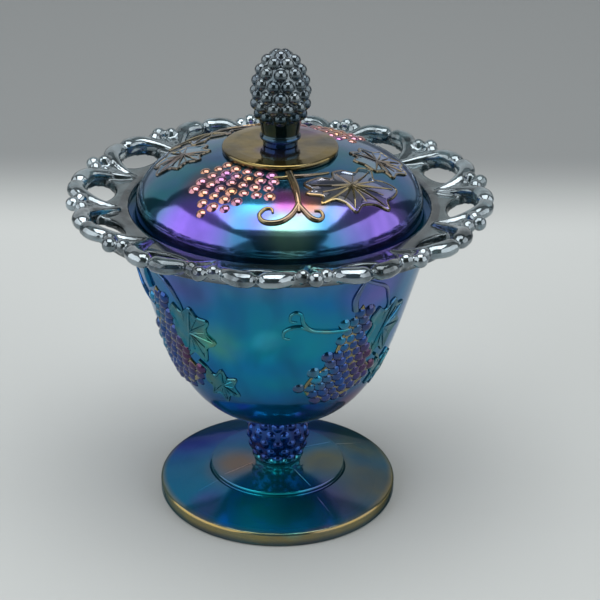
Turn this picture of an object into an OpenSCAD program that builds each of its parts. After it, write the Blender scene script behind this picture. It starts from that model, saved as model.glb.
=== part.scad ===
// Covered compote in pressed lustre glass: a footed bowl with an open lace rim, and its lid.
// Origin: centre of the foot's resting face. +Z is up, and the front is -Y.

/* [Foot] */
// Diameter of the foot
foot_d = 110; // [90:1:140]
// Height of the foot's upright edge
foot_edge_h = 6.5; // [4:0.5:9]
// Height of the foot at its neck
foot_h = 16.8; // [15:0.2:24]
// Diameter of the raised disc on the foot
foot_disc_d = 62; // [44:1:74]
// Step up to the raised disc
foot_disc_step = 2; // [1:0.1:3]
// Rise of the outer slope, from the edge to the raised disc
foot_slope_rise = 5.4; // [3:0.2:7]
// Diameter of the neck where the foot meets the stem
neck_d = 20; // [16:0.5:26]
// Diameter of the hollow under the foot
foot_hollow_d = 90; // [60:1:100]
// Depth of the hollow under the foot
foot_hollow_h = 4; // [1:0.5:5]

/* [Stem] */
// Height of the stem, from the foot's neck to the bowl
stem_h = 27.7; // [22:0.1:40]
// Diameter of the stem's core at its middle
stem_core_d = 24; // [20:0.5:30]
// Diameter of each bead of the stem's grape cluster
stem_bead_d = 5.6; // [4:0.1:7]

/* [Bowl] */
// Height of the bowl, from the stem to the lid's seat
bowl_h = 97.5; // [75:0.5:125]
// Width of the bowl's edge outside the lace rim's well
bowl_edge_w = 4; // [2.5:0.5:8]
// Diameter of the flat underside that the bowl's wall grows from
bowl_base_d = 56; // [40:1:70]
// Rise of the bowl's underside, from the stem to where the wall starts
bowl_base_rise = 3; // [1:0.5:6]
// Thickness of the bowl's wall
bowl_wall = 4.2; // [3:0.1:6]

/* [Lid] */
// Diameter of the lid
lid_d = 126.8; // [110:0.2:156]
// Height of the lid's upright side
lid_side_h = 4; // [2:0.5:8]
// Height of the lid's dome above its upright side
dome_h = 23.6; // [16:0.2:34]
// Thickness of the lid's wall
lid_wall = 3.8; // [3:0.1:5]
// Depth of the locating skirt inside the bowl's mouth
skirt_h = 5; // [3:0.5:9]
// Thickness of the locating skirt
skirt_t = 2.8; // [2:0.1:4]
// Radial clearance of the skirt in the bowl's mouth
skirt_gap = 0.7; // [0.4:0.1:1.5]
// Width of the ledge that the lid's edge rests on
ledge_w = 6.2; // [4.5:0.1:8]
// Radial gap between the lid's edge and the well of the lace rim
well_gap = 3.3; // [2:0.1:4]
// Diameter of the collar disc under the finial
collar_d = 51; // [40:1:62]
// Thickness of the collar disc
collar_t = 3; // [2:0.1:5]

/* [Lace rim] */
// Width of the lace rim, from its well to the outside of its scrolls
lace_w = 28.3; // [27:0.1:40]
// Number of loops around the lace rim
loops = 12; // [8:1:14]
// Turn of the first fleur from the front, in degrees
fleur_turn = 9.3; // [0:0.1:30]
// Thickness of the rim's flange
flange_t = 3.6; // [2.5:0.1:5]
// Rise of the rim's web, from the bowl's edge outwards
web_rise = 3; // [0:0.5:6]
// Width of each scroll
scroll_w = 8.6; // [6:0.2:10]
// Radius of each loop, to the middle of its scrolls
loop_r = 13.3; // [10:0.1:16]
// Width of each hole, along the radius
hole_w = 12; // [8:0.5:14]
// Length of each hole, around the rim
hole_l = 20.4; // [16:0.2:24]
// Diameter of the outermost bead of each fleur
fleur_bead_d = 6.2; // [4:0.2:8]

/* [Finial] */
// Height of the finial, from the collar to the top bead
finial_h = 43.2; // [34:0.1:54]
// Diameter of the finial's neck
finial_neck_d = 16.8; // [13:0.2:20]
// Height of the finial's neck
finial_neck_h = 10.2; // [7:0.1:14]
// Diameter of the finial's cluster, to the middle of its widest beads
cluster_d = 21.6; // [17:0.2:27]
// Diameter of each bead of the finial
finial_bead_d = 6; // [4.5:0.1:7]

/* [Hidden] */
$fn = 96;

// Heights of the faces where the pieces meet
stem_z = foot_h;
bowl_z = stem_z + stem_h;
seat_z = bowl_z + bowl_h;
flange_z = seat_z + flange_t;
collar_z = seat_z + lid_side_h + dome_h;
finial_z = collar_z + collar_t;

// Fits between the lid, the bowl's mouth and the lace rim
lid_r = lid_d / 2;
well_r = lid_r + well_gap;
mouth_r = well_r - ledge_w;
bowl_top_r = well_r + bowl_edge_w;
rim_r = well_r + lace_w;
skirt_r = mouth_r - skirt_gap;
collar_seat_r = collar_d / 2 - 1;

// Walls are cubic curves: the handles set how full the bowl and the dome are
curve_steps = 18;
bowl_fullness = [[0.55, 0.13], [0.66, 0.55]];
dome_fullness = [[0, 0.475], [0.34, 0.81]];

function mix2(a, b, f) = [a[0] + (b[0] - a[0]) * f[0], a[1] + (b[1] - a[1]) * f[1]];
function cubic(a, b, c, d, t) =
    a * pow(1 - t, 3) + b * 3 * t * pow(1 - t, 2) + c * 3 * t * t * (1 - t) + d * pow(t, 3);
function cubic_slope(a, b, c, d, t) =
    (b - a) * 3 * pow(1 - t, 2) + (c - b) * 6 * t * (1 - t) + (d - c) * 3 * t * t;
function curve(a, d, fullness, t) = cubic(a, mix2(a, d, fullness[0]), mix2(a, d, fullness[1]), d, t);
function curve_slope(a, d, fullness, t) =
    cubic_slope(a, mix2(a, d, fullness[0]), mix2(a, d, fullness[1]), d, t);
// The same curve moved sideways by w, to the left of its direction
function beside(a, d, fullness, t, w) =
    let (s = curve_slope(a, d, fullness, t)) curve(a, d, fullness, t) + w * [-s[1], s[0]] / norm(s);

bowl_wall_low = [bowl_base_d / 2, bowl_z + bowl_base_rise];
bowl_wall_top = [bowl_top_r, seat_z];
dome_low = [lid_r, seat_z + lid_side_h];
dome_top = [collar_seat_r, collar_z];
steps = [for (i = [0 : curve_steps]) i / curve_steps];

// Height from one row of beads to the next, as a share of a bead's diameter
row_pitch = 0.9;

// Beads on a round core: each row holds as many as fit around it, every other row turned half a bead
module bead_row(z, r, bead_d, turned) {
    count = max(5, floor(360 / (2 * asin(min(1, 0.5 * bead_d / r)))));
    for (i = [0 : count - 1])
        rotate([0, 0, (i + (turned ? 0.5 : 0)) * 360 / count])
            translate([r, 0, z])
                sphere(d = bead_d, $fn = 24);
}

module foot() {
    slope_z = foot_edge_h + foot_slope_rise;
    color([0.16, 0.34, 0.42])
        difference() {
            rotate_extrude()
                polygon([
                    [0, 0], [foot_d / 2, 0], [foot_d / 2, foot_edge_h],
                    [foot_disc_d / 2, slope_z], [foot_disc_d / 2, slope_z + foot_disc_step],
                    [neck_d / 2, foot_h], [0, foot_h]
                ]);
            translate([0, 0, -1])
                cylinder(h = foot_hollow_h + 1, d1 = foot_hollow_d + 2, d2 = neck_d);
        }
}

module stem() {
    rows = round(stem_h / (stem_bead_d * row_pitch));
    waist_r = neck_d / 2 - 1;
    core_r = stem_core_d / 2;
    color([0.10, 0.17, 0.36])
        union() {
            rotate_extrude()
                polygon(concat(
                    [[0, stem_z]],
                    [for (f = steps) [waist_r + (core_r - waist_r) * sin(180 * f), stem_z + stem_h * f]],
                    [[0, bowl_z]]
                ));
            for (i = [0 : rows - 1])
                let (f = (i + 0.7) / (rows + 0.4))
                    bead_row(stem_z + stem_h * f, waist_r + (core_r - waist_r) * sin(180 * f),
                             stem_bead_d, i % 2 == 1);
        }
}

module bowl() {
    outside = [for (t = steps) curve(bowl_wall_low, bowl_wall_top, bowl_fullness, t)];
    inside = [for (t = steps) if (t < 1) beside(bowl_wall_low, bowl_wall_top, bowl_fullness, t, bowl_wall)];
    // The wall thickens inwards under the ledge that the lid's edge rests on
    inside_ledge = [for (p = inside) if (p[0] < mouth_r) p];
    floor_z = inside[0][1];
    last = inside_ledge[len(inside_ledge) - 1];
    color([0.08, 0.32, 0.45])
        rotate_extrude()
            polygon(concat(
                [[0, bowl_z], [neck_d / 2, bowl_z]],
                outside,
                [[mouth_r, seat_z], [mouth_r, last[1] + 3]],
                [for (i = [len(inside_ledge) - 1 : -1 : 0]) inside_ledge[i]],
                [[0, floor_z]]
            ));
}

module scroll_loop() {
    section_drop = scroll_w * 0.17;
    translate([rim_r - scroll_w / 2 - loop_r, 0, flange_z + web_rise])
        rotate([0, 0, -100])
            rotate_extrude(angle = 200)
                translate([loop_r, 0])
                    intersection() {
                        circle(d = scroll_w);
                        translate([-scroll_w, -section_drop])
                            square([2 * scroll_w, scroll_w]);
                    }
}

module fleur() {
    bead_z = flange_z + web_rise;
    spread = fleur_bead_d * 0.58;
    tip_r = rim_r - fleur_bead_d / 2;
    pair_r = tip_r - fleur_bead_d * 0.6;
    translate([tip_r, 0, bead_z])
        sphere(d = fleur_bead_d, $fn = 32);
    for (side = [-1, 1])
        translate([pair_r, side * spread, bead_z + 0.6])
            sphere(d = fleur_bead_d * 0.94, $fn = 32);
    translate([well_r + flange_t, 0, flange_z - 0.5])
        rotate([0, 88, 0])
            cylinder(h = tip_r - well_r - flange_t, d1 = fleur_bead_d * 0.3, d2 = fleur_bead_d * 0.7);
}

module lace_hole() {
    end_r = hole_w / 2;
    end_shift = hole_l / 2 - end_r;
    centre_r = rim_r - scroll_w - end_r - 0.1;
    for (side = [-1, 0, 1])
        translate([centre_r, side * end_shift, seat_z - 5])
            cylinder(h = flange_t + web_rise + 20, r = end_r + (side == 0 ? 0.4 : 0));
}

module lace_rim() {
    web_r = rim_r - scroll_w / 2 - 3;
    pitch = 360 / loops;
    color([0.45, 0.56, 0.58])
        difference() {
            union() {
                rotate_extrude()
                    polygon([
                        [well_r, seat_z], [bowl_top_r, seat_z], [web_r, seat_z + web_rise],
                        [web_r, flange_z + web_rise], [well_r, flange_z]
                    ]);
                for (i = [0 : loops - 1])
                    rotate([0, 0, fleur_turn - 90 + (i + 0.5) * pitch])
                        scroll_loop();
                for (i = [0 : loops - 1])
                    rotate([0, 0, fleur_turn - 90 + i * pitch])
                        fleur();
            }
            for (i = [0 : loops - 1])
                rotate([0, 0, fleur_turn - 90 + (i + 0.5) * pitch])
                    lace_hole();
        }
}

module lid_dome() {
    outside = [for (t = steps) curve(dome_low, dome_top, dome_fullness, t)];
    hollow = [for (t = steps) beside(dome_low, dome_top, dome_fullness, t, lid_wall)];
    skirt_in = skirt_r - skirt_t;
    inside = [for (p = hollow) if (p[0] < skirt_in) p];
    color([0.12, 0.24, 0.42])
        rotate_extrude()
            polygon(concat(
                [[skirt_in, seat_z - skirt_h], [skirt_r, seat_z - skirt_h], [skirt_r, seat_z], [lid_r, seat_z]],
                outside,
                [[0, collar_z], [0, collar_z - lid_wall]],
                [for (i = [len(inside) - 1 : -1 : 0]) inside[i]],
                [[skirt_in, inside[0][1] - 2]]
            ));
}

module lid_collar() {
    color([0.45, 0.40, 0.22])
        translate([0, 0, collar_z])
            cylinder(h = collar_t, d = collar_d);
}

module finial() {
    bead_r = finial_bead_d / 2;
    low_z = finial_z + finial_neck_h + bead_r + 1.5;
    top_z = finial_z + finial_h - bead_r;
    rows = round((top_z - low_z) / (finial_bead_d * row_pitch));
    row_step = (top_z - low_z) / rows;
    neck_r = finial_neck_d / 2;
    // Egg shape: widest a third of the way up, blunt at the crown
    function egg_r(f) = cluster_d / 2 * (0.84 + 0.16 * sin(min(90, 270 * f))) * sqrt(1 - pow(f, 3) * 0.99);
    color([0.38, 0.48, 0.54])
        union() {
            translate([0, 0, finial_z])
                cylinder(h = finial_neck_h + 3, r1 = neck_r - 0.8, r2 = neck_r + 1.2);
            translate([0, 0, finial_z + finial_neck_h * 0.42])
                rotate_extrude()
                    translate([neck_r - 0.6, 0])
                        circle(d = 2.4, $fn = 24);
            rotate_extrude()
                polygon(concat(
                    [[0, low_z - bead_r]],
                    [[egg_r(0) - 1, low_z - bead_r]],
                    [for (f = steps) [egg_r(f), low_z + (top_z - low_z) * f]],
                    [[0, top_z]]
                ));
            for (i = [0 : rows - 1])
                let (f = i / rows)
                    bead_row(low_z + row_step * i, egg_r(f), finial_bead_d, i % 2 == 1);
            translate([0, 0, top_z])
                sphere(d = finial_bead_d, $fn = 24);
        }
}

foot();
stem();
bowl();
lace_rim();
lid_dome();
lid_collar();
finial();
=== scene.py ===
import math

import bmesh
import bpy
from mathutils import Matrix, Vector


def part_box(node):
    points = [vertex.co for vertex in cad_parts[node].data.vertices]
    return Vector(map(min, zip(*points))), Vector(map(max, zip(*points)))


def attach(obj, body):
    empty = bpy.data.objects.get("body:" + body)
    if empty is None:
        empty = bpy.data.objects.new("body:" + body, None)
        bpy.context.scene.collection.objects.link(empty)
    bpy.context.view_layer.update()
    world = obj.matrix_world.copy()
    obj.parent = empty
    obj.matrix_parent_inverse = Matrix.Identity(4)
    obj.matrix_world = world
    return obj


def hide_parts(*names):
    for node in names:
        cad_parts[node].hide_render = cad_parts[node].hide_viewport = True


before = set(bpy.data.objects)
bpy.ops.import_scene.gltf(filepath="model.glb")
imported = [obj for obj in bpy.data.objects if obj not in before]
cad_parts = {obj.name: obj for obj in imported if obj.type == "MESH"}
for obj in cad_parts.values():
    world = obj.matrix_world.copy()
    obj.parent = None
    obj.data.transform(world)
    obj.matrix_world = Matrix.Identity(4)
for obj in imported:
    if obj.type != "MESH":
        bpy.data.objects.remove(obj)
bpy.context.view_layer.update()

# Covered glass compote: foot, stem, bowl and lace rim are one pressing; lid, collar and finial the other.
# Metres throughout, front of the compote towards -Y. Angles run from the front towards +X, in degrees.
mm = 0.001
spinSteps = 192
quarterTurns = (90, 180, 270)           # for what is repeated four times round

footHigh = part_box("foot")[1]
stemLow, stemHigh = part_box("stem")
bowlLow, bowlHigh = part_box("bowl")
lidLow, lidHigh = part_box("lid_dome")
collarLow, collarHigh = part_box("lid_collar")
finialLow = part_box("finial")[0]
seatZ = bowlHigh.z                      # the ledge that the lid's edge rests on
bowlR = bowlHigh.x
lidR = lidHigh.x
collarR = collarHigh.x
print("frame loaded")


def deselectAll():
    if bpy.context.object and bpy.context.object.mode == "EDIT":
        bpy.ops.object.mode_set(mode="OBJECT")
    bpy.ops.object.select_all(action="DESELECT")


def around(angle, radius, height):      # a point on the circle, angle from the front
    turn = math.radians(angle)
    return Vector((radius * math.sin(turn), -radius * math.cos(turn), height))


def mixOf(a, b, share):
    return a + (b - a) * share


def activate(piece):
    deselectAll()
    piece.select_set(True)
    bpy.context.view_layer.objects.active = piece


def rename(piece, name):
    piece.name = name
    piece.data.name = name
    return piece


def applyModifier(piece, kind, **settings):
    activate(piece)
    modifier = piece.modifiers.new(kind.lower(), kind)
    for setting, value in settings.items():
        setattr(modifier, setting, value)
    bpy.ops.object.modifier_apply(modifier=modifier.name)


def joined(name, pieces):
    activate(pieces[0])
    for piece in pieces:
        piece.select_set(True)
    if len(pieces) > 1:
        bpy.ops.object.join()
    return rename(bpy.context.object, name)


def turnedCopies(piece, angles):        # the piece itself and a turned copy of it for each angle
    copies = [piece]
    for angle in angles:
        activate(piece)
        bpy.ops.object.duplicate()
        copy = bpy.context.object
        copy.rotation_euler = (0, 0, math.radians(angle))
        bpy.ops.object.transform_apply(location=False, rotation=True, scale=False)
        copies.append(copy)
    return copies


def vertexChain(name, points):          # one vertex, extruded from point to point
    deselectAll()
    bpy.ops.mesh.primitive_plane_add(size=mm, location=points[0])
    line = rename(bpy.context.object, name)
    bpy.ops.object.transform_apply(location=True, rotation=False, scale=False)
    bpy.ops.object.mode_set(mode="EDIT")
    bpy.ops.mesh.merge(type="CENTER")
    for here, there in zip(points, points[1:]):
        bpy.ops.mesh.extrude_vertices_move(
            TRANSFORM_OT_translate={"value": Vector(there) - Vector(here)})
    return line


def lathe(name, outline, smoothAngle=40):       # outline in (radius, height), spun round the axis
    piece = vertexChain(name, [(radius, 0, height) for radius, height in outline])
    bpy.ops.mesh.select_all(action="SELECT")
    bpy.ops.mesh.spin(steps=spinSteps, angle=math.tau, center=(0, 0, 0), axis=(0, 0, 1))
    bpy.ops.mesh.select_all(action="SELECT")
    bpy.ops.mesh.remove_doubles(threshold=0.002 * mm)
    bpy.ops.mesh.normals_make_consistent(inside=False)
    bpy.ops.object.mode_set(mode="OBJECT")
    bpy.ops.object.shade_smooth_by_angle(angle=math.radians(smoothAngle))
    return piece


def rounded(corners):                   # corners are (radius, height, fillet); returns the line with arcs
    outline = []
    for i, (x, z, fillet) in enumerate(corners):
        here = Vector((x, z))
        if fillet == 0 or i in (0, len(corners) - 1):
            outline.append(here)
            continue
        before = (Vector(corners[i - 1][:2]) - here).normalized()
        after = (Vector(corners[i + 1][:2]) - here).normalized()
        half = before.angle(after) / 2
        reach = fillet / math.tan(half)
        centre = here + (before + after).normalized() * fillet / math.sin(half)
        start, end = here + before * reach - centre, here + after * reach - centre
        sweep = start.angle_signed(end)
        arcSteps = max(3, round(abs(math.degrees(sweep)) / 12))
        for step in range(arcSteps + 1):
            turn = -sweep * step / arcSteps
            outline.append(centre + Matrix.Rotation(turn, 2) @ start)
    return outline


def cubicWall(low, high, fullness, steps):      # from low to high, its two handles as shares of the way
    handles = [Vector([mixOf(a, b, share) for a, b, share in zip(low, high, shares)])
               for shares in fullness]
    first, last = Vector(low), Vector(high)
    wall = []
    for step in range(steps + 1):
        t = step / steps
        wall.append(first * (1 - t) ** 3 + handles[0] * 3 * t * (1 - t) ** 2
                    + handles[1] * 3 * t * t * (1 - t) + last * t ** 3)
    return wall


def besideWall(wall, distance):         # the same wall, moved to the left of its direction
    moved = []
    for i, here in enumerate(wall):
        along = wall[min(i + 1, len(wall) - 1)] - wall[max(i - 1, 0)]
        moved.append(here + Vector((-along.y, along.x)).normalized() * distance)
    return moved


def onWall(wall, angle, value, out, byHeight):  # a point on the spun wall, moved out of it by a distance
    key = 1 if byHeight else 0          # the value is either a height or a radius
    for low, high in zip(wall, wall[1:]):
        if min(low[key], high[key]) <= value <= max(low[key], high[key]):
            break
    share = (value - low[key]) / (high[key] - low[key])
    along = (high - low).normalized()
    away = Vector((along.y, -along.x))
    if away.x < 0:
        away = -away
    spot = low.lerp(high, share) + away * out
    return around(angle, spot.x, spot.y)


def smoothBetween(a, b, c, d, t):       # from b to c, with a before and d after
    return 0.5 * (2 * b + (c - a) * t + (2 * a - 5 * b + 4 * c - d) * t * t
                  + (3 * b - a - 3 * c + d) * t ** 3)


def smoothLine(points, perSpan):        # a smooth line through given points
    ends = [points[0]] + list(points) + [points[-1]]
    line = []
    for four in zip(ends, ends[1:], ends[2:], ends[3:]):
        for step in range(perSpan):
            line.append(tuple(smoothBetween(*values, step / perSpan) for values in zip(*four)))
    line.append(tuple(points[-1]))
    return line


def tube(name, points, radii, roundness=2):     # a rod along the points, with a radius at each
    line = vertexChain(name, points)
    bpy.ops.object.mode_set(mode="OBJECT")
    bpy.ops.object.convert(target="CURVE")
    spline = line.data.splines[0]
    start = Vector(points[0])
    nearEnd, farEnd = spline.points[0].co.xyz, spline.points[-1].co.xyz
    if (nearEnd - start).length > (farEnd - start).length:      # the curve may run the other way
        radii = radii[::-1]
    for point, radius in zip(spline.points, radii):
        point.radius = radius
    line.data.bevel_depth = 1
    line.data.bevel_resolution = roundness
    line.data.use_fill_caps = True
    bpy.ops.object.convert(target="MESH")
    return bpy.context.object


def tapered(count, thick, thin):        # full thickness for two fifths of the length, then down to thin
    return [mixOf(thin, thick, min(1, (count - 1 - i) / (0.6 * count))) for i in range(count)]


def beads(name, spots, segments=12, rings=7):   # spots are (centre, radius)
    def addBead(centre, radius):
        bpy.ops.mesh.primitive_uv_sphere_add(segments=segments, ring_count=rings, radius=radius,
                                             location=centre)

    deselectAll()
    addBead(*spots[0])
    bpy.ops.object.transform_apply(location=True, rotation=False, scale=False)
    piece = rename(bpy.context.object, name)
    bpy.ops.object.mode_set(mode="EDIT")
    for spot in spots[1:]:
        addBead(*spot)
    bpy.ops.object.mode_set(mode="OBJECT")
    bpy.ops.object.shade_smooth()
    return piece


def ringAt(height, radius, thick):
    deselectAll()
    bpy.ops.mesh.primitive_torus_add(major_radius=radius, minor_radius=thick, location=(0, 0, height),
                                     major_segments=64, minor_segments=16)
    bpy.ops.object.transform_apply(location=True, rotation=False, scale=False)
    return bpy.context.object


def fuse(piece, voxel, smoothing):      # melts joined shapes into one closed skin
    applyModifier(piece, "REMESH", mode="VOXEL", voxel_size=voxel, use_smooth_shade=True)
    applyModifier(piece, "SMOOTH", factor=0.5, iterations=smoothing)
    activate(piece)
    bpy.ops.object.shade_smooth()


foot = {
    "edgeH": 6.5 * mm,
    "slopeTop": 11.9 * mm,
    "discR": 31 * mm,
    "discStep": 2 * mm,
    "grooveW": 1.4 * mm,                # the groove between the slope and the disc
    "grooveD": 0.6 * mm,
    "neckR": 10 * mm,
    "neckFlare": 4 * mm,
    "neckStep": 1.3 * mm,               # from the middle of the disc up to the neck
    "hollowR": 45 * mm,
    "hollowH": 4 * mm,
    "seamTurn": 31.5,                   # where the four parts of the mould met
    "seamT": 0.16 * mm,
    "seamSteps": 6,
}


def makeFoot():
    footR, footTop = footHigh.x, footHigh.z
    discR, slopeTop = foot["discR"], foot["slopeTop"]
    discTop = slopeTop + foot["discStep"]
    plate = lathe("compote_foot", rounded([
        (0, foot["hollowH"], 0),
        (foot["neckR"], foot["hollowH"], 3 * mm),
        (foot["hollowR"], 0, 1.2 * mm),
        (footR, 0, 1.4 * mm),
        (footR, foot["edgeH"], 1.7 * mm),
        (discR + foot["grooveW"], slopeTop, 0.4 * mm),
        (discR - 0.4 * mm, slopeTop - foot["grooveD"], 0.3 * mm),
        (discR + 0.2 * mm, slopeTop + 1.0 * mm, 0.3 * mm),
        (discR, discTop, 0.6 * mm),
        (foot["neckR"] + foot["neckFlare"], footTop - foot["neckStep"], 4 * mm),
        (foot["neckR"], footTop, 0.5 * mm),
        (0, footTop, 0),
    ]))
    slope = [Vector((footR - 2 * mm, foot["edgeH"] + 0.3 * mm)), Vector((discR + 1.5 * mm, slopeTop))]
    disc = [Vector((discR - 1.5 * mm, discTop + 0.1 * mm)),
            Vector((foot["neckR"] + 3 * mm, footTop - 1.1 * mm))]
    return joined("compote_foot", [plate] + seamsOn(slope, "slopeSeam") + seamsOn(disc, "discSeam"))


def seamsOn(wall, name):                # fine ridges up the wall, one at each joint of the mould
    steps = foot["seamSteps"]
    radii = [mixOf(wall[0].x, wall[1].x, i / steps) for i in range(steps + 1)]
    line = [onWall(wall, foot["seamTurn"], radius, 0, False) for radius in radii]
    ridge = tube(name, line, [foot["seamT"]] * len(line), 1)
    return turnedCopies(ridge, quarterTurns)


stem = {
    "waistR": 9 * mm,
    "coreR": 12 * mm,
    "coreSwell": 1.9 * mm,              # how far the core fills the gaps between the beads
    "coreSteps": 24,
    "beadR": 2.8 * mm,
    "spacing": 1.02,                    # from bead to bead, in bead widths
    "rows": 6,
    "ringR": 10.4 * mm,
    "ringT": 1.5 * mm,
    "voxel": 0.34 * mm,
}


def stemCoreAt(share):                  # the core's radius at a share of its height
    return mixOf(stem["waistR"], stem["coreR"], math.sin(math.pi * share))


def makeStem():
    low, high = stemLow.z, stemHigh.z
    height = high - low
    steps = stem["coreSteps"]
    outline = [(0, low)]
    for i in range(steps + 1):
        swell = stem["coreSwell"] * math.sin(math.pi * i / steps) ** 0.5
        outline.append((stemCoreAt(i / steps) + swell, low + height * i / steps))
    outline.append((0, high))
    core = lathe("stem_core", outline)
    spots = []
    for row in range(stem["rows"]):
        share = (row + 0.7) / (stem["rows"] + 0.4)      # the end rows stay off the foot and the bowl
        rowR = stemCoreAt(share)
        count = int(math.tau * rowR / (2 * stem["beadR"] * stem["spacing"]))
        for i in range(count):
            angle = (i + 0.5 * (row % 2)) * 360 / count
            spots.append((around(angle, rowR, low + height * share), stem["beadR"]))
    neck = ringAt(low + stem["ringT"], stem["ringR"], stem["ringT"])
    knop = joined("compote_stem", [core, neck, beads("stem_beads", spots, 20, 12)])
    fuse(knop, stem["voxel"], 2)
    return knop


bowl = {
    "baseR": 28 * mm,
    "baseRise": 3 * mm,
    "baseCurve": 1.6,
    "baseSteps": 6,
    "wall": 4.2 * mm,
    "wallSteps": 44,
    "neckR": 10 * mm,
    "fullness": [(0.55, 0.13), (0.66, 0.55)],
    "mouthR": 60.5 * mm,
    "mouthEdge": 0.6 * mm,
    "ledgeDepth": 3 * mm,
}
bowlWall = cubicWall((bowl["baseR"], bowlLow.z + bowl["baseRise"]), (bowlR, seatZ), bowl["fullness"],
                     bowl["wallSteps"])


def makeBowl():
    mouthR, edge = bowl["mouthR"], bowl["mouthEdge"]
    inner = [p for p in besideWall(bowlWall, bowl["wall"]) if p.x < mouthR]
    outline = [(0, bowlLow.z), (bowl["neckR"], bowlLow.z)]
    for step in range(1, bowl["baseSteps"]):
        share = step / bowl["baseSteps"]
        outline.append((mixOf(bowl["neckR"], bowl["baseR"], share),
                        bowlLow.z + bowl["baseRise"] * share ** bowl["baseCurve"]))
    outline += [tuple(p) for p in bowlWall]
    outline += [(mouthR + edge, seatZ), (mouthR, seatZ - edge), (mouthR, inner[-1].y + bowl["ledgeDepth"])]
    outline += [tuple(p) for p in reversed(inner)]
    outline += [(0, inner[0].y)]
    return lathe("compote_bowl", outline, 50)


# the bunch of grapes on the bowl, its edges as (height in millimetres, degrees from its middle)
bunch = {
    "left": [(70, -12), (73, -19.5), (79, -22), (85, -19), (89, -14), (94, -10.5), (100, -9), (106, -7.5),
             (113, -4), (120, -1)],
    "right": [(70, 7), (73, 13), (77, 18.5), (82, 19.5), (88, 14), (94, 11.5), (100, 9.5), (108, 8),
              (115, 7), (120, 5)],
    "groundInset": (3, 2),              # degrees from the bunch's left and right edges
    "groundHeart": (0, 88),
    "pitch": 4.75,                      # from grape to grape, in millimetres
    "rowPitch": 4.2,
    "beadR": 3.5 * mm,
    "sunk": 1.9 * mm,
    "turn": 31.5,
    "sizeVary": 0.06,                   # how uneven the grapes are in size, height and depth
    "heightVary": 0.35,
    "depthVary": 0.2 * mm,
}


def edgeAt(edge, height):
    for (z0, a0), (z1, a1) in zip(edge, edge[1:]):
        if z0 <= height <= z1:
            return mixOf(a0, a1, (height - z0) / (z1 - z0))
    return edge[-1][1]


def makeBowlGrapes():
    spots = []
    row = 0
    height = bunch["left"][0][0]
    while height <= bunch["left"][-1][0]:
        left, right = edgeAt(bunch["left"], height), edgeAt(bunch["right"], height)
        radius = math.hypot(*onWall(bowlWall, 0, height * mm, 0, True).xy)
        pitch = math.degrees(bunch["pitch"] * mm / radius)
        angle = math.ceil(left / pitch) * pitch + (0.5 * pitch if row % 2 else 0)
        while angle <= right:
            wobble = math.sin(7 * row + 3 * angle)
            beadZ = (height + bunch["heightVary"] * wobble) * mm
            out = bunch["depthVary"] * math.sin(3 * row + angle) - bunch["sunk"]
            spots.append((onWall(bowlWall, bunch["turn"] + angle, beadZ, out, True),
                          bunch["beadR"] * (1 + bunch["sizeVary"] * wobble)))
            angle += pitch
        row += 1
        height += bunch["rowPitch"]
    first = beads("bunch", spots, 10, 7)
    return joined("bowl_grapes", turnedCopies(first, quarterTurns))


def makeBowlGround():                   # the raised ground between the grapes
    insetLeft, insetRight = bunch["groundInset"]
    left = [(angle + insetLeft, height) for height, angle in bunch["left"]]
    right = [(angle - insetRight, height) for height, angle in bunch["right"]]
    pad = {"heart": bunch["groundHeart"], "outline": left + right[::-1]}
    first = leafOn(bowlWall, "ground", pad, bunch["turn"], True)
    return joined("bowl_bunch_ground", turnedCopies(first, quarterTurns))


# each a line of (degrees from the middle of the bunch, height in millimetres), and a thickness
bowlVines = {
    "stalk": ([(-1, 119), (-2, 124), (-1, 129), (1, 134)], 1.5),
    "tendril": ([(-3, 109), (-8, 109.5), (-14, 110.5), (-19, 112), (-22, 116), (-23, 120.5),
                 (-25, 122), (-27, 120.5), (-27, 117.5), (-24.5, 116.5)], 1.05),
    "curl": ([(-19, 112), (-23, 114), (-27, 113.5), (-29.5, 111.5), (-29.5, 108.5), (-27, 107.5)], 0.95),
    "upperStem": ([(1, 134), (6, 131), (12, 127), (15, 121), (17, 115), (16, 108)], 0.9),
    "lowerStem": ([(19, 88), (23, 85), (27, 80)], 0.8),
}
bowlLeaves = {
    "upper": {
        "heart": (18, 103),
        "outline": [(12, 116), (16, 113), (21, 117), (24, 113), (29, 112), (27, 106), (31, 101), (26, 97),
                    (24, 89), (19, 93), (14, 90), (12, 97), (8.5, 100), (11, 106), (9, 111)],
        "tips": [(21, 116.5), (29, 111.5), (30.5, 101), (24, 90), (14, 91)],
    },
    "lower": {
        "heart": (30, 77),
        "outline": [(23, 84), (27, 82), (31, 86), (33, 81.5), (38, 82), (36, 77), (38, 72), (33, 72),
                    (30, 67), (27.5, 71.5), (22, 70), (24, 75), (21, 78)],
        "tips": [(31, 85), (37.5, 81.5), (37, 72.5), (30, 68), (23, 71)],
    },
}


# shared by the relief of the bowl and of the lid
relief = {
    "vineOut": 0.15 * mm,               # from the wall to the middle of each rod
    "veinOut": 0.4 * mm,
    "edgeOut": 0.25 * mm,
    "bowlVein": 0.55,
    "lidVein": 0.6,
    "vineTip": 0.45,                    # share of the vine's thickness left at its tip
    "veinTip": 0.25 * mm,
    "bladeFoot": -1.2,                  # in millimetres, like the rest of the blade
    "bladeT": 0.8,
    # from the leaf's outline in to its heart: share of the way out, and rise over the step before
    "bladeSteps": [(1.0, 1.5), (0.97, 0.35), (0.92, 0.0), (0.87, -0.3), (0.7, 0), (0.5, 0), (0.3, 0),
                   (0.12, 0)],
}


def vineOn(wall, name, line, thickness, turn, byHeight):
    places = [onWall(wall, turn + angle, value * mm, relief["vineOut"], byHeight)
              for angle, value in smoothLine(line, 5)]
    return tube(name, places, tapered(len(places), thickness * mm, relief["vineTip"] * thickness * mm))


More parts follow.
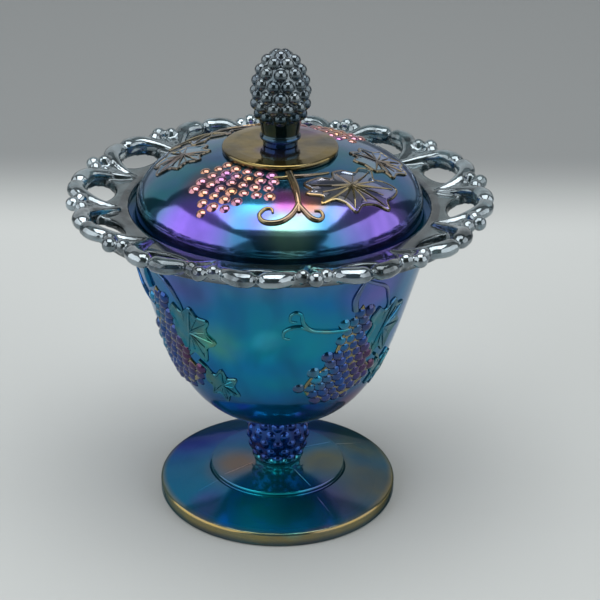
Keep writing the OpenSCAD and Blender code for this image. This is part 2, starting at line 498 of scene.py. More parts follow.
def leafOn(wall, name, leaf, turn, byHeight):   # a thin blade with a raised edge, drawn flat then laid on
    ring = smoothLine(leaf["outline"] + leaf["outline"][:1], 4)[:-1]
    heart = Vector(leaf["heart"])
    deselectAll()
    bpy.ops.mesh.primitive_circle_add(vertices=len(ring), radius=1, fill_type="NOTHING")
    blade = rename(bpy.context.object, name)
    for vertex, (across, up) in zip(blade.data.vertices, ring):
        vertex.co = (across, up, relief["bladeFoot"])
    bpy.ops.object.mode_set(mode="EDIT")
    bpy.ops.mesh.select_all(action="SELECT")
    for share, rise in relief["bladeSteps"]:
        bpy.ops.mesh.extrude_edges_move(TRANSFORM_OT_translate={"value": (0, 0, rise)})
        bpy.ops.object.mode_set(mode="OBJECT")
        picked = [v for v in blade.data.vertices if v.select]
        for vertex, (across, up) in zip(picked, ring):
            flat = heart.lerp(Vector((across, up)), share)
            vertex.co = (flat.x, flat.y, vertex.co.z)
        bpy.ops.object.mode_set(mode="EDIT")
    bpy.ops.mesh.merge(type="CENTER")
    bpy.ops.mesh.select_all(action="SELECT")
    bpy.ops.mesh.extrude_region_move(TRANSFORM_OT_translate={"value": (0, 0, -relief["bladeT"])})
    bpy.ops.mesh.select_all(action="SELECT")
    bpy.ops.mesh.normals_make_consistent(inside=False)
    bpy.ops.object.mode_set(mode="OBJECT")
    for vertex in blade.data.vertices:
        vertex.co = onWall(wall, turn + vertex.co.x, vertex.co.y * mm, vertex.co.z * mm, byHeight)
    return blade


def veinsOn(wall, name, leaf, turn, byHeight, thickness):
    heart = leaf["heart"]
    veins = []
    ends = [(tip, 0.95, thickness) for tip in leaf["tips"]]
    for tip, following in zip(leaf["tips"], leaf["tips"][1:]):      # a finer one between each two
        ends.append((tuple(mixOf(a, b, 0.5) for a, b in zip(tip, following)), 0.8, 0.6 * thickness))
    for i, (tip, reach, thick) in enumerate(ends):
        line = [tuple(mixOf(a, b, share * reach) for a, b in zip(heart, tip))
                for share in (0, 0.35, 0.7, 1)]
        places = [onWall(wall, turn + angle, value * mm, relief["veinOut"], byHeight)
                  for angle, value in smoothLine(line, 3)]
        veins.append(tube(f"{name}{i}", places, tapered(len(places), thick * mm, relief["veinTip"]), 1))
    return veins


def leafEdge(wall, name, leaf, turn, byHeight, thickness):
    ring = smoothLine(leaf["outline"] + leaf["outline"][:1], 4)
    places = [onWall(wall, turn + angle, value * mm, relief["edgeOut"], byHeight) for angle, value in ring]
    return tube(name, places, [thickness * mm] * len(places), 1)


def makeBowlVines():
    turn = bunch["turn"]
    parts = [vineOn(bowlWall, name, line, thick, turn, True) for name, (line, thick) in bowlVines.items()]
    for name, leaf in bowlLeaves.items():
        parts.append(leafOn(bowlWall, name, leaf, turn, True))
        parts += veinsOn(bowlWall, name + "Vein", leaf, turn, True, relief["bowlVein"])
        parts.append(leafEdge(bowlWall, name + "Edge", leaf, turn, True, relief["bowlVein"]))
    return repeated("bowl_vines", parts, quarterTurns)


def repeated(name, parts, turns):       # joined, smoothed and copied round
    piece = joined(name, parts)
    activate(piece)
    bpy.ops.object.shade_smooth_by_angle(angle=math.radians(50))
    return joined(name, turnedCopies(piece, turns))


lace = {
    "wellR": 66.7 * mm,
    "flangeR": 74.3 * mm,
    "flangeT": 3.6 * mm,
    "webR": 88.5 * mm,
    "webRise": 3 * mm,
    "webCurve": 1.3,
    "webSteps": 12,
    "loops": 12,
    "turn": 9.3,
    "holeR": 80.3 * mm,
    "cutterLowR": 5.2 * mm,
    "cutterHighR": 9 * mm,
    "cutterStretch": 1.75,              # the holes are wider than they are deep
    "cutterH": 12 * mm,
    "cutterRise": 0.5 * mm,
    "scrollOut": 0.55 * mm,             # from the web to the middle of the scroll
    "scrollTop": 7.2 * mm,
    "scrollMiddle": 6.7 * mm,
    "scrollFlat": 0.84,                 # the scrolls are flatter than they are wide
    "voxel": 0.66 * mm,
}
# half a loop's scroll: degrees from the middle of the hole, radius and thickness in millimetres
scroll = [(14.2, 71, 0.9), (13.0, 75.5, 1.8), (11.6, 80, 2.4), (9.3, 85, 3.3), (7.2, 88.2, 3.9),
          (4.7, 89.9, 4.2), (2.5, 90.2, 4.1)]
# between two loops: three beads and a rib up to each, the ribs given like the scroll
fleur = {
    "beadRise": 0.9 * mm,
    "front": (90.9 * mm, 3.3 * mm),     # from the axis to the bead, and the bead's radius
    "sides": (87.6 * mm, 3.1 * mm),
    "sideTurn": 3.1,
    "ribOut": 0.3 * mm,
    "middleRib": [(0, 70.3, 0.5), (0, 75, 1.0), (0, 80, 1.3), (0, 86, 1.3)],
    "sideRib": [(0, 76, 0.7), (1.1, 81, 1.2), (2.5, 85.5, 1.5), (3.1, 88, 1.5)],
}
flangeTop = seatZ + lace["flangeT"]
loopStep = 360 / lace["loops"]
firstLoop = lace["turn"] + loopStep / 2


def webTopAt(radius):                   # height of the web's upper face
    share = (radius - lace["flangeR"]) / (lace["webR"] - lace["flangeR"])
    return flangeTop + lace["webRise"] * max(0, min(1, share)) ** lace["webCurve"]


def makeWeb():
    steps = lace["webSteps"]
    radii = [mixOf(lace["wellR"], lace["webR"], i / steps) for i in range(steps + 1)]
    top = [(r, webTopAt(r)) for r in radii]
    bottom = [(r, max(seatZ, webTopAt(r) - lace["flangeT"])) for r in radii]
    web = lathe("web", bottom + top[::-1] + bottom[:1])

    deselectAll()                       # funnel-shaped oval cutters, one through each loop
    bpy.ops.mesh.primitive_cone_add(vertices=48, radius1=lace["cutterLowR"], radius2=lace["cutterHighR"],
                                    depth=lace["cutterH"], location=(0, 0, flangeTop + lace["cutterRise"]))
    cutter = bpy.context.object
    cutter.scale = (lace["cutterStretch"], 1, 1)
    cutter.location.y = -lace["holeR"]
    bpy.ops.object.transform_apply(location=True, rotation=False, scale=True)
    cutters = joined("cutters", turnedCopies(cutter, [i * loopStep for i in range(1, lace["loops"])]))
    cutters.data.transform(Matrix.Rotation(math.radians(firstLoop), 4, "Z"))
    applyModifier(web, "BOOLEAN", object=cutters, operation="DIFFERENCE", solver="EXACT")
    bpy.data.objects.remove(cutters)
    return web


def allLoops(piece, first):             # a copy for each loop, and the piece itself removed
    copies = turnedCopies(piece, [first + i * loopStep for i in range(lace["loops"])])
    bpy.data.objects.remove(copies.pop(0))
    return copies


def makeLoops():
    line = smoothLine(scroll, 4)
    parts = []
    for side in (-1, 1):
        places = [around(side * angle, radius * mm,
                         min(webTopAt(radius * mm) + lace["scrollOut"], seatZ + lace["scrollTop"]))
                  for angle, radius, thick in line]
        parts.append(tube("scroll", places, [thick * mm for angle, radius, thick in line], 4))
        angle, radius, thick = scroll[-1]
        tip = around(side * angle, radius * mm, places[-1].z)
        parts.append(beads("scrollEnd", [(tip, thick * mm)], 24, 16))
    loop = joined("loop", parts)
    activate(loop)
    bpy.ops.object.mode_set(mode="EDIT")
    bpy.ops.mesh.select_all(action="SELECT")
    bpy.ops.transform.resize(value=(1, 1, lace["scrollFlat"]),
                             center_override=(0, 0, seatZ + lace["scrollMiddle"]))
    bpy.ops.object.mode_set(mode="OBJECT")
    return allLoops(loop, firstLoop)


def makeFleurs():
    beadZ = flangeTop + lace["webRise"] + fleur["beadRise"]
    frontR, frontSize = fleur["front"]
    sideR, sideSize = fleur["sides"]
    parts = [beads("fleurBeads", [
        (around(0, frontR, beadZ), frontSize),
        (around(-fleur["sideTurn"], sideR, beadZ), sideSize),
        (around(fleur["sideTurn"], sideR, beadZ), sideSize)], 20, 12)]
    for side, rib in ((1, fleur["middleRib"]), (1, fleur["sideRib"]), (-1, fleur["sideRib"])):
        points = smoothLine(rib, 4)
        places = [around(side * angle, radius * mm, webTopAt(radius * mm) + fleur["ribOut"])
                  for angle, radius, thick in points]
        parts.append(tube("rib", places, [thick * mm for angle, radius, thick in points], 3))
    return allLoops(joined("fleur", parts), lace["turn"])


def makeLaceRim():
    rim = joined("compote_lace_rim", [makeWeb()] + makeLoops() + makeFleurs())
    fuse(rim, lace["voxel"], 2)
    return rim


lid = {
    "sideH": 4 * mm,
    "wall": 3.8 * mm,
    "wallSteps": 48,
    "fullness": [(0, 0.475), (0.34, 0.81)],
    "skirtR": 59.8 * mm,
    "skirtT": 2.8 * mm,
    "skirtLap": 2 * mm,                 # from the inside of the dome down to where the outline closes
    "seatInset": 1 * mm,
}
lidWall = cubicWall((lidR, seatZ + lid["sideH"]), (collarR - lid["seatInset"], collarLow.z),
                    lid["fullness"], lid["wallSteps"])


def makeLidDome():
    skirtIn = lid["skirtR"] - lid["skirtT"]
    inner = [p for p in besideWall(lidWall, lid["wall"]) if p.x < skirtIn]
    closing = (skirtIn, inner[0].y - lid["skirtLap"])
    outline = rounded([
        (*closing, 0),
        (skirtIn, lidLow.z, 0.8 * mm),
        (lid["skirtR"], lidLow.z, 0.8 * mm),
        (lid["skirtR"], seatZ, 0.4 * mm),
        (lidR, seatZ, 0.9 * mm),
        (lidR, seatZ + lid["sideH"], 0),
    ])
    outline += [tuple(p) for p in lidWall[1:]]
    outline += [(0, collarLow.z), (0, collarLow.z - lid["wall"])]
    outline += [tuple(p) for p in reversed(inner)]
    outline += [closing]
    return lathe("lid_dome_glass", outline, 50)


collar = {
    "edgeDrop": 0.5 * mm,               # the edge stands this much lower than the middle
    "edgeW": 5 * mm,
}


def makeCollar():
    outline = rounded([
        (0, collarLow.z, 0),
        (collarR, collarLow.z, 0.5 * mm),
        (collarR, collarHigh.z - collar["edgeDrop"], 1.1 * mm),
        (collarR - collar["edgeW"], collarHigh.z, 6 * mm),
        (0, collarHigh.z, 0),
    ])
    return lathe("lid_collar_glass", outline)


# relief on the lid's front half; the back half is the same, turned round
lidBunch = {
    # each row's radius in millimetres, and the degrees it starts and ends at
    "rows": [(27.8, -54, -3), (32.4, -60, -2), (37.2, -60, -3), (42.2, -56, -8), (47.2, -50, -17),
             (52.0, -42, -28), (56.4, -36, -33)],
    "pitch": 5.7,                       # from grape to grape, in millimetres
    "beadR": 3.4 * mm,
    "sunk": 2.3 * mm,
    "sizeVary": 0.05,                   # how uneven the grapes are in size and place
    "placeVary": 0.3,
}
# each a line of (degrees from the front, radius in millimetres), and a thickness
lidVines = {
    "ystem": ([(8, 27), (9.5, 33), (10, 40), (9.5, 47), (9, 51)], 1.9),
    "leftVolute": ([(9.3, 47), (6, 51.5), (1.5, 54.6), (-3.5, 55.6), (-7.6, 54.9), (-9.2, 52.2), (-7, 49.4),
                    (-4, 49.3), (-3.2, 51.2)], 1.25),
    "rightVolute": ([(9.3, 47), (11.8, 51), (14, 54), (17, 55.2), (19.4, 54), (19.2, 51.6), (16.4, 50.9)],
                    1.2),
    "crossLeft": ([(8.5, 29), (2, 30), (-6, 29.5)], 1.1),
    "crossRight": ([(8.5, 29), (18, 29.5), (30, 30), (42, 31)], 1.1),
}
lidLeaves = {
    "broad": {
        "heart": (46, 42),
        "outline": [(44, 32), (38, 35.5), (30, 33), (17, 35), (20, 39.5), (15.5, 41.5), (24, 44),
                    (21.5, 48), (29, 47), (33.5, 50), (35.5, 55), (41, 53), (47, 54.5), (52, 58.5),
                    (55, 55.5), (61, 55.5), (66.5, 54), (65, 48.5), (62, 45), (70, 41), (66, 37),
                    (58, 37.5), (52, 33)],
        "tips": [(18, 36), (22.5, 47.5), (35.5, 54), (52, 57.5), (65.5, 53.5), (68.5, 41), (45, 33)],
    },
    "side": {
        "heart": (86, 42),
        "outline": [(75, 38), (72.5, 43), (77, 46), (75, 50.5), (81, 51), (87.5, 55), (91, 52), (98, 54),
                    (98.5, 48), (103, 45), (99, 41), (102, 35.5), (94, 35), (89, 30.5), (83, 34), (76, 33)],
        "tips": [(74, 43), (76, 50), (87.5, 54), (97.5, 53), (102, 45), (101, 36), (89, 31.5)],
    },
}


def makeLidGrapes():
    spots = []
    for row, (radius, left, right) in enumerate(lidBunch["rows"]):
        pitch = math.degrees(lidBunch["pitch"] / radius)
        for i in range(int((right - left) / pitch) + 1):
            angle = left + (i + 0.5 * (row % 2)) * pitch
            wobble = math.sin(5 * row + 2 * i)
            beadPlace = (radius + lidBunch["placeVary"] * wobble) * mm
            spots.append((onWall(lidWall, angle, beadPlace, -lidBunch["sunk"], False),
                          lidBunch["beadR"] * (1 + lidBunch["sizeVary"] * wobble)))
    first = beads("lidBunch", spots, 12, 8)
    return joined("lid_grapes", turnedCopies(first, [180]))


def makeLidVines():
    parts = [vineOn(lidWall, name, line, thick, 0, False) for name, (line, thick) in lidVines.items()]
    for name, leaf in lidLeaves.items():
        parts += veinsOn(lidWall, name + "Vein", leaf, 0, False, relief["lidVein"])
        parts.append(leafEdge(lidWall, name + "Edge", leaf, 0, False, relief["lidVein"]))
    return repeated("lid_vines", parts, [180])


def makeLidLeaves():
    blades = [leafOn(lidWall, name, leaf, 0, False) for name, leaf in lidLeaves.items()]
    return repeated("lid_leaves", blades, [180])


finial = {
    "neckR": 8 * mm,
    "neckH": 10.2 * mm,
    "ringR": 7.8 * mm,
    "ringT": 1.3 * mm,
    "ringRise": 4 * mm,
    "beadR": 2.85 * mm,
    "spacing": 1.04,                    # from bead to bead, in bead widths
    "coreSwell": 0.4 * mm,              # how far the core fills the gaps between the beads
    "voxel": 0.34 * mm,
    # height and radius of each row of beads, in millimetres
    "rows": [(14.5, 9.0), (19.2, 10.5), (24.1, 10.7), (29.1, 9.9), (33.9, 8.4), (38.1, 5.7), (40.3, 1.9)],
}


def makeFinial():
    low = finialLow.z
    beadR, swell, neckR = finial["beadR"], finial["coreSwell"], finial["neckR"]
    outline = rounded([
        (0, low, 0),
        (neckR - 0.4 * mm, low, 0.3 * mm),
        (neckR - 0.2 * mm, low + 3 * mm, 1 * mm),
        (neckR + 1.4 * mm, low + finial["neckH"] + 2 * mm, 0),
    ])
    outline += [(radius * mm + swell, low + height * mm)
                for height, radius in smoothLine(finial["rows"], 4)]
    outline += [(0, low + finial["rows"][-1][0] * mm + swell)]
    core = lathe("finial_core", outline)
    ring = ringAt(low + finial["ringRise"], finial["ringR"], finial["ringT"])
    spots = []
    for row, (height, radius) in enumerate(finial["rows"]):
        count = max(3, int(math.tau * radius * mm / (2 * beadR * finial["spacing"])))
        for i in range(count):
            angle = (i + 0.5 * (row % 2)) * 360 / count
            spots.append((around(angle, radius * mm, low + height * mm), beadR))
    knob = joined("lid_finial", [core, ring, beads("finial_beads", spots, 20, 12)])
    fuse(knob, finial["voxel"], 2)
    return knob


def linked(tree, kind, inputs=None, **settings):    # a node with its settings and its links or constants
    node = tree.nodes.new(kind)
    for setting, value in settings.items():
        setattr(node, setting, value)
    for socket, value in (inputs or {}).items():
        if isinstance(value, bpy.types.NodeSocket):
            tree.links.new(value, node.inputs[socket])
        else:
            node.inputs[socket].default_value = value
    return node


def colour(hexCode):                    # a hex colour as linear light
    parts = [int(hexCode[i:i + 2], 16) / 255 for i in (0, 2, 4)]
    return [c / 12.92 if c < 0.04045 else ((c + 0.055) / 1.055) ** 2.4 for c in parts] + [1]


def mixed(tree, share, under, over):
    node = linked(tree, "ShaderNodeMix", {0: share, 6: under, 7: over}, data_type="RGBA")
    return node.outputs[2]


def ranged(tree, value, start, end, low=0, high=1, **settings):     # low at start, high at end
    node = linked(tree, "ShaderNodeMapRange", {"Value": value, "From Min": start, "From Max": end,
                                               "To Min": low, "To Max": high}, **settings)
    return node.outputs["Result"]


def noise(tree, place, scale, detail=2.0):
    return linked(tree, "ShaderNodeTexNoise", {"Vector": place, "Scale": scale, "Detail": detail})


def painted(tree, film, place, spots):  # round patches of colour on the film, each fading out at its reach
    for centre, reach, tint in spots:
        away = linked(tree, "ShaderNodeVectorMath", {0: place, 1: centre}, operation="DISTANCE")
        share = ranged(tree, away.outputs["Value"], reach, 0.15 * reach, interpolation_type="SMOOTHSTEP")
        film = mixed(tree, share, film, colour(tint))
    return film


def filmColour(tree, place, moved, mottle, look):
    film = painted(tree, colour(look["film"]), moved, look["patches"])
    height = linked(tree, "ShaderNodeSeparateXYZ", {0: place}).outputs["Z"]
    for edge, full, tint in look["layers"]:     # a tint that sets in at one height and is full at the other
        share = ranged(tree, height, edge * mm, full * mm, interpolation_type="SMOOTHSTEP")
        film = mixed(tree, share, film, colour(tint))
    # spots painted over the bands: some are painted highlights, some the glass's own tints
    film = painted(tree, film, moved, look["paintedHighlightsAndTints"])
    share = ranged(tree, mottle, 0.38, 0.66, 0, look["mottleShare"])
    film = mixed(tree, share, film, colour(look["mottle"]))
    if look["streakShare"]:
        stretched = linked(tree, "ShaderNodeMapping", {0: moved, "Scale": (1, 1, look["streakLength"])})
        streak = noise(tree, stretched.outputs[0], look["streakScale"]).outputs["Fac"]
        share = ranged(tree, streak, 0.45, 0.7, 0, look["streakShare"])
        film = mixed(tree, share, film, colour(look["streak"]))
    return film


def lustreGlass(name, look):            # clear coloured glass with a thin metallic film over it
    material = bpy.data.materials.new(name)
    material.use_nodes = True
    tree = material.node_tree
    tree.nodes.clear()
    place = linked(tree, "ShaderNodeTexCoord").outputs["Object"]
    drift = noise(tree, place, look["driftScale"])
    shift = linked(tree, "ShaderNodeVectorMath", {0: drift.outputs["Color"], 1: (0.5, 0.5, 0.5)},
                   operation="SUBTRACT").outputs[0]
    shift = linked(tree, "ShaderNodeVectorMath", {0: shift, "Scale": look["drift"]},
                   operation="SCALE").outputs[0]
    moved = linked(tree, "ShaderNodeVectorMath", {0: place, 1: shift}, operation="ADD").outputs[0]
    mottle = noise(tree, moved, look["mottleScale"], 3.0).outputs["Fac"]
    film = filmColour(tree, place, moved, mottle, look)
    depth = colour(look["glass"])
    if look["bodyTint"]:
        depth = mixed(tree, look["bodyTint"], depth, film)

    ripple = noise(tree, place, look["rippleScale"]).outputs["Fac"]
    bump = linked(tree, "ShaderNodeBump", {"Height": ripple, "Strength": look["ripple"],
                                           "Distance": 1.0 * mm}).outputs[0]
    body = linked(tree, "ShaderNodeBsdfPrincipled", {
        "Base Color": depth,
        "Transmission Weight": look["clear"],
        "Roughness": 0.06,
        "IOR": 1.5,
        "Normal": bump,
    })
    skin = linked(tree, "ShaderNodeBsdfPrincipled", {
        "Base Color": film,
        "Metallic": 1.0,
        "Roughness": ranged(tree, mottle, 0.3, 0.7, *look["rough"]),
        "Specular Tint": colour(look["edge"]),
        "Coat Weight": look["coat"],
        "Coat Roughness": 0.05,
        "Normal": bump,
    })
    cover = ranged(tree, drift.outputs["Fac"], 0.3, 0.7, *look["cover"])
    both = linked(tree, "ShaderNodeMixShader", {0: cover, 1: body.outputs[0], 2: skin.outputs[0]})
    linked(tree, "ShaderNodeOutputMaterial", {"Surface": both.outputs[0]})
    return material


def patch(angle, radius, height, reach, tint):
    return around(angle, radius * mm, height * mm), reach * mm, tint


def allRound(angles, radius, height, reach, tint):      # the same patch at several angles
    return [patch(angle, radius, height, reach, tint) for angle in angles]


# colours as hex; patches are spots of colour on the film, layers are bands of it by height, and the spots
# painted last are partly painted highlights and partly the glass's own tints
plainLook = {
    "glass": "0b6f86", "clear": 0.45, "bodyTint": 0.3,
    "film": "2a7f9a", "cover": (0.35, 0.6), "edge": "ffffff", "coat": 0.0, "rough": (0.07, 0.18),
    "patches": [], "layers": [], "paintedHighlightsAndTints": [], "drift": 0.02, "driftScale": 22.0,
    "mottle": "4a5fb5", "mottleScale": 45.0, "mottleShare": 0.4,
    "streak": "0c2f60", "streakScale": 60.0, "streakLength": 0.25, "streakShare": 0.35,
    "ripple": 0.12, "rippleScale": 55.0,
}
quarters = [bunch["turn"] + turn for turn in (0, *quarterTurns)]
looks = {
    "foot": dict(
        plainLook, glass="10a8b8", film="1070a8", edge="2a5a78", cover=(0.6, 0.9),
        mottle="1c5888", mottleShare=0.3, streakShare=0.2,
        patches=[
            patch(-70, 48, 9, 36, "0c6a9c"), patch(-44, 47, 9, 14, "5048a8"),
            patch(0, 46, 9, 34, "10dcdc"), patch(42, 44, 9, 20, "6a4a98"),
            patch(74, 48, 9, 36, "6c6450"), patch(120, 46, 9, 32, "6c6450"),
            patch(180, 46, 9, 34, "3a68b8"), patch(-125, 46, 9, 30, "6a5aa8"),
            patch(0, 20, 15, 18, "0c9898"), patch(-70, 22, 15, 23, "8c6c58"),
            patch(75, 22, 15, 23, "84784c"), patch(180, 22, 15, 22, "4a4a80"),
        ],
        # the cyan spot painted last at the front of the foot is a painted highlight
        layers=[(7.4, 6.2, "b09038"), (4.4, 1.2, "5c3c18")], paintedHighlightsAndTints=[patch(8, 47, 10, 11, "30e8e0")]),
    "stem": dict(
        plainLook, glass="041848", film="0c58b0", edge="3870a0", cover=(0.5, 0.8), rough=(0.03, 0.08),
        coat=0.2, mottle="101c68", mottleScale=150.0, mottleShare=0.8, layers=[(20.8, 18.8, "48d8e8")]),
    "bowl": dict(
        plainLook, glass="0880a4", film="1080b0", edge="dce6e8", cover=(0.65, 0.9), ripple=0.2,
        mottle="1c58c0", mottleShare=0.4, streakShare=0.5,
        patches=[
            # the green spot just left of the front is painted light, a glow of light through the glass
            patch(0, 62, 100, 38, "0a9ab0"), patch(-24, 60, 103, 17, "48a090"),
            patch(-38, 66, 132, 20, "6a60c0"), patch(40, 68, 134, 26, "7a68c0"),
            patch(78, 60, 110, 40, "3068b0"), patch(-78, 60, 110, 40, "1c68b8"),
            patch(150, 62, 110, 40, "28a8c0"), patch(-140, 62, 120, 36, "7a60c0"),
            patch(-160, 50, 75, 30, "20a0c8"),
        ],
        # the blue-grey band up to the rim is a painted reflection of the rim, and the thin dark band at the
        # very top is painted shade under the rim
        layers=[(124, 141, "5c86a8"), (78, 55, "062c90"), (141.2, 141.9, "0a2430")],
        # painted last: the two red spots low down are the glass's own lustre, and the two cyan spots at the
        # front are painted highlights
        paintedHighlightsAndTints=[patch(48, 44, 53, 19, "c81850"), patch(-4, 63, 109, 9, "38c4d8"),
                patch(5, 60, 99, 11, "18a8c0"), patch(165, 44, 53, 19, "a82060")]),
    # on the rim, the near-black mottle partly stands in for reflections of dark surroundings, a painted
    # reflection, and the darker band low down is painted shade under the rim
    "lace": dict(
        plainLook, glass="88a4ac", clear=0.95, bodyTint=0, film="c2d0d8", cover=(0.4, 0.7), coat=0.5,
        rough=(0.02, 0.05), ripple=0.05, mottle="141f24", mottleScale=95.0, mottleShare=0.85,
        streakShare=0, layers=[(148.5, 144, "2c383c")]),
    "lid": dict(
        plainLook, glass="0c3a4c", film="1a7890", cover=(0.65, 0.9), ripple=0.35, rippleScale=38.0,
        mottle="5a4fb0", mottleShare=0.35,
        patches=[
            patch(-62, 50, 160, 26, "1a7f88"), patch(-38, 60, 152, 28, "8a68e0"),
            patch(46, 60, 154, 32, "9070d8"), patch(-48, 42, 167, 15, "7a5038"),
            patch(-22, 40, 168, 16, "7a5038"), patch(38, 42, 167, 18, "5c5838"),
            patch(0, 54, 161, 20, "6858b8"), patch(12, 47, 164, 14, "c07844"),
            patch(3, 46, 165, 12, "b05098"), patch(-12, 47, 165, 13, "38a4d0"),
            # the pale green spot low at the front sits where the dark card is reflected and colours that
            # reflection: partly a painted reflection
            patch(6, 61, 156, 16, "98dcb8"), patch(100, 50, 160, 30, "2a60a8"),
            patch(180, 50, 160, 30, "8a5fc8"), patch(-125, 50, 160, 30, "2a68a8"),
        ]),
    "collar": dict(
        plainLook, glass="2a2c18", film="94804c", cover=(0.7, 0.9), ripple=0.4, rippleScale=80.0,
        mottle="5c5a44", mottleScale=70.0, mottleShare=0.7, layers=[(171.3, 170.2, "3a3a28")],
        patches=[patch(0, 9, 172, 11, "5a4a9a"), patch(180, 9, 172, 11, "5a4a9a"),
                 patch(150, 22, 172, 16, "7a5fa0")]),
    "finial": dict(
        plainLook, glass="0c2a30", film="7c868a", cover=(0.55, 0.85), coat=0.5, rough=(0.02, 0.06),
        mottle="2a4450", mottleScale=90.0, mottleShare=0.7,
        layers=[(194, 186, "04303c"), (177.6, 176.4, "3078c0")]),
    "bowlGrape": dict(
        plainLook, glass="102a50", film="144c98", cover=(0.5, 0.85), coat=0.3, drift=0.008, driftScale=90.0,
        mottle="5e4450", mottleScale=170.0, mottleShare=0.55,
        patches=allRound([a - 18 for a in quarters], 54, 86, 15, "18a0c8")
        + allRound([a - 8 for a in quarters], 64, 108, 16, "18a0c8")
        + allRound([a + 16 for a in quarters], 56, 88, 18, "582850")),
    "ground": dict(
        plainLook, glass="4a5a4a", film="b0a070", cover=(0.45, 0.75),
        mottle="6a7058", mottleScale=120.0, mottleShare=0.6, streakShare=0),
    "lidGrape": dict(
        plainLook, glass="20304a", film="d49a6c", cover=(0.6, 0.9), coat=0.5, rough=(0.03, 0.08),
        drift=0.01, mottle="9a58b8", mottleScale=90.0, mottleShare=0.7),
    "lidVine": dict(
        plainLook, glass="1a3034", film="8a7c50", cover=(0.5, 0.8), coat=0.5, rough=(0.03, 0.08),
        drift=0.01, mottle="5a4a60", mottleScale=60.0, mottleShare=0.6,
        patches=allRound([10, 190], 45, 165, 20, "c8a058")),
}
looks["bowlVine"] = dict(looks["bowl"], film="1e8498", mottle="7c8a58", mottleScale=110.0, mottleShare=0.5)
looks["lidLeaf"] = dict(looks["lid"], cover=(0.5, 0.75),
                        patches=looks["lid"]["patches"] + allRound([35, 215], 42, 165, 22, "6c6440"))


def finishPiece(piece, body, slotName, material, *nodes):
    piece.data.materials.clear()
    piece.data.materials.append(material)
    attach(piece, body)
    if nodes:
        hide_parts(*nodes)


glassOf = {name: lustreGlass(name + "_glass", look) for name, look in looks.items()}
print("glass mixed")
finishPiece(makeFoot(), "compote", "foot_glass", glassOf["foot"], "foot")
finishPiece(makeStem(), "compote", "bowl_glass", glassOf["stem"], "stem")
finishPiece(makeBowl(), "compote", "bowl_glass", glassOf["bowl"], "bowl")
finishPiece(makeBowlGrapes(), "compote", "bowl_glass", glassOf["bowlGrape"])
finishPiece(makeBowlGround(), "compote", "bowl_glass", glassOf["ground"])
finishPiece(makeBowlVines(), "compote", "bowl_glass", glassOf["bowlVine"])
print("foot, stem and bowl made")
finishPiece(makeLaceRim(), "compote", "rim_glass", glassOf["lace"], "lace_rim")
print("lace rim made")
finishPiece(makeLidDome(), "lid", "lid_glass", glassOf["lid"], "lid_dome")
finishPiece(makeLidGrapes(), "lid", "lid_glass", glassOf["lidGrape"])
finishPiece(makeLidVines(), "lid", "lid_glass", glassOf["lidVine"])
finishPiece(makeLidLeaves(), "lid", "lid_glass", glassOf["lidLeaf"])
finishPiece(makeCollar(), "lid", "collar_glass", glassOf["collar"], "lid_collar")
finishPiece(makeFinial(), "lid", "finial_glass", glassOf["finial"], "finial")
print("lid made")


studio = {
    "tableD": 1.7,                      # from the compote to where the backdrop starts
    "tableFront": -2.5,
    "tableW": 3.0,
    "wallH": 2.2,
    "curve": 0.3,
    "curveSteps": 16,
    "wallShadeFade": (0.29, 0.43),               # where the table's light grey turns into the wall's darker grey, which is painted shade
    "table": "bcc0bf",
    # the wall's darker grey is painted shade on the same paper
    "wall": "7e8283",
    "paperRough": 0.6,
    "air": (0.55, 0.57, 0.58, 1),
    "airStrength": 0.4,
}


def selectEdges(sweep, wanted):
    edit = bmesh.from_edit_mesh(sweep.data)
    for edge in edit.edges:
        edge.select_set(all(wanted(v.co) for v in edge.verts))
    bmesh.update_edit_mesh(sweep.data)


def makeBackdrop():
    deselectAll()
    bpy.ops.mesh.primitive_plane_add(size=2, location=(0, 0, 0))
    sweep = rename(bpy.context.object, "backdrop")
    for vertex in sweep.data.vertices:
        vertex.co.x *= studio["tableW"]
        vertex.co.y = studio["tableD"] if vertex.co.y > 0 else studio["tableFront"]
    bpy.ops.object.mode_set(mode="EDIT")
    bpy.ops.mesh.select_all(action="DESELECT")
    selectEdges(sweep, lambda co: co.y > 0)
    bpy.ops.mesh.extrude_region_move(TRANSFORM_OT_translate={"value": (0, 0, studio["wallH"])})
    bpy.ops.mesh.select_all(action="DESELECT")
    selectEdges(sweep, lambda co: co.y > 0 and co.z < studio["curve"])
    bpy.ops.mesh.bevel(offset=studio["curve"], segments=studio["curveSteps"])
    bpy.ops.object.mode_set(mode="OBJECT")
    bpy.ops.object.shade_smooth()
    paper = bpy.data.materials.new("backdrop_paper")
    paper.use_nodes = True
    tree = paper.node_tree
    shader = tree.nodes["Principled BSDF"]
    place = linked(tree, "ShaderNodeTexCoord").outputs["Object"]
    depth = linked(tree, "ShaderNodeSeparateXYZ", {0: place}).outputs["Y"]
    # the paper is painted darker up the wall: painted shade
    share = ranged(tree, depth, *studio["wallShadeFade"], interpolation_type="SMOOTHSTEP")
    grey = mixed(tree, share, colour(studio["table"]), colour(studio["wall"]))
    tree.links.new(grey, shader.inputs["Base Color"])
    shader.inputs["Roughness"].default_value = studio["paperRough"]
    sweep.data.materials.append(paper)


# place, size and watts; they all point at the middle of the compote
lamps = {
    "top": [(0, 0, 1.4), (1.3, 0.98), 14.5],
    "left": [(-1.35, -0.4, 0.78), (2.4, 1.5), 17],
    "right": [(1.35, -0.47, 0.78), (2.2, 1.5), 14],
    "back": [(0, 1.05, 0.6), (2.4, 0.9), 3.2],
}
lampTarget = Vector((0, 0, 0.11))


def softbox(name, spot, size, power):
    deselectAll()
    bpy.ops.object.light_add(type="AREA", location=spot)
    lamp = rename(bpy.context.object, name)
    lamp.data.shape = "RECTANGLE"
    lamp.data.size, lamp.data.size_y = size
    lamp.data.energy = power
    lamp.rotation_euler = (lampTarget - Vector(spot)).to_track_quat("-Z", "Y").to_euler()
    lamp.visible_camera = False


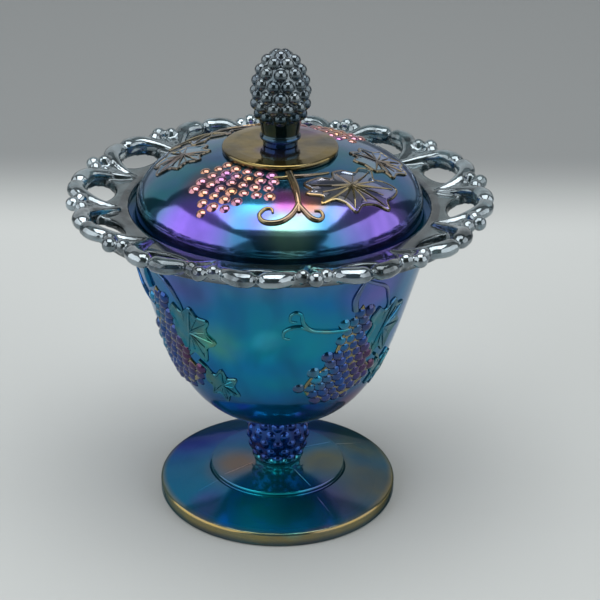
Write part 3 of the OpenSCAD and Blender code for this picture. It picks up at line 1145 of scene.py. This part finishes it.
def makeLights():
    world = bpy.data.worlds.new("studio")
    world.use_nodes = True
    air = world.node_tree.nodes["Background"].inputs
    air["Color"].default_value = studio["air"]
    air["Strength"].default_value = studio["airStrength"]
    bpy.context.scene.world = world
    for name, settings in lamps.items():
        softbox(name, *settings)


flag = {
    "spot": (0.16, -1.2, 0.8),
    "tilt": 50,
    "size": (1.3, 1.25, 1),
    "corner": 0.06,
    "felt": (0.055, 0.065, 0.055, 1),
    "feltRough": 0.9,
}


def makeFlag():                         # a dark card behind the camera, for the glass to reflect
    deselectAll()
    bpy.ops.mesh.primitive_plane_add(size=1, location=flag["spot"],
                                     rotation=(math.radians(flag["tilt"]), 0, 0))
    card = rename(bpy.context.object, "flag")
    card.scale = flag["size"]
    bpy.ops.object.transform_apply(location=True, rotation=True, scale=True)
    bpy.ops.object.mode_set(mode="EDIT")
    bpy.ops.mesh.select_all(action="SELECT")
    bpy.ops.mesh.bevel(offset=flag["corner"], segments=6, affect="VERTICES")
    bpy.ops.object.mode_set(mode="OBJECT")
    felt = bpy.data.materials.new("flag_felt")
    felt.use_nodes = True
    shader = felt.node_tree.nodes["Principled BSDF"].inputs
    shader["Base Color"].default_value = flag["felt"]
    shader["Roughness"].default_value = flag["feltRough"]
    card.data.materials.append(felt)


view = {
    "spot": (0, -0.77884, 0.47514),
    "lens": 114.68,
    "sensor": 36,
    "pan": -0.70,
    "down": 25.90,
    "roll": 0.77,
}


def makeCamera():
    deselectAll()
    bpy.ops.object.camera_add(location=view["spot"])
    camera = bpy.context.object
    camera.data.lens = view["lens"]
    camera.data.sensor_width = view["sensor"]
    pan = Matrix.Rotation(math.radians(view["pan"]), 3, "Z")
    tilt = Matrix.Rotation(math.radians(90 - view["down"]), 3, "X")
    roll = Matrix.Rotation(math.radians(view["roll"]), 3, "Z")
    camera.rotation_euler = (pan @ tilt @ roll).to_euler()
    bpy.context.scene.camera = camera


bpy.context.scene.view_settings.view_transform = "Standard"
makeBackdrop()
makeLights()
makeFlag()
makeCamera()
print("studio set")
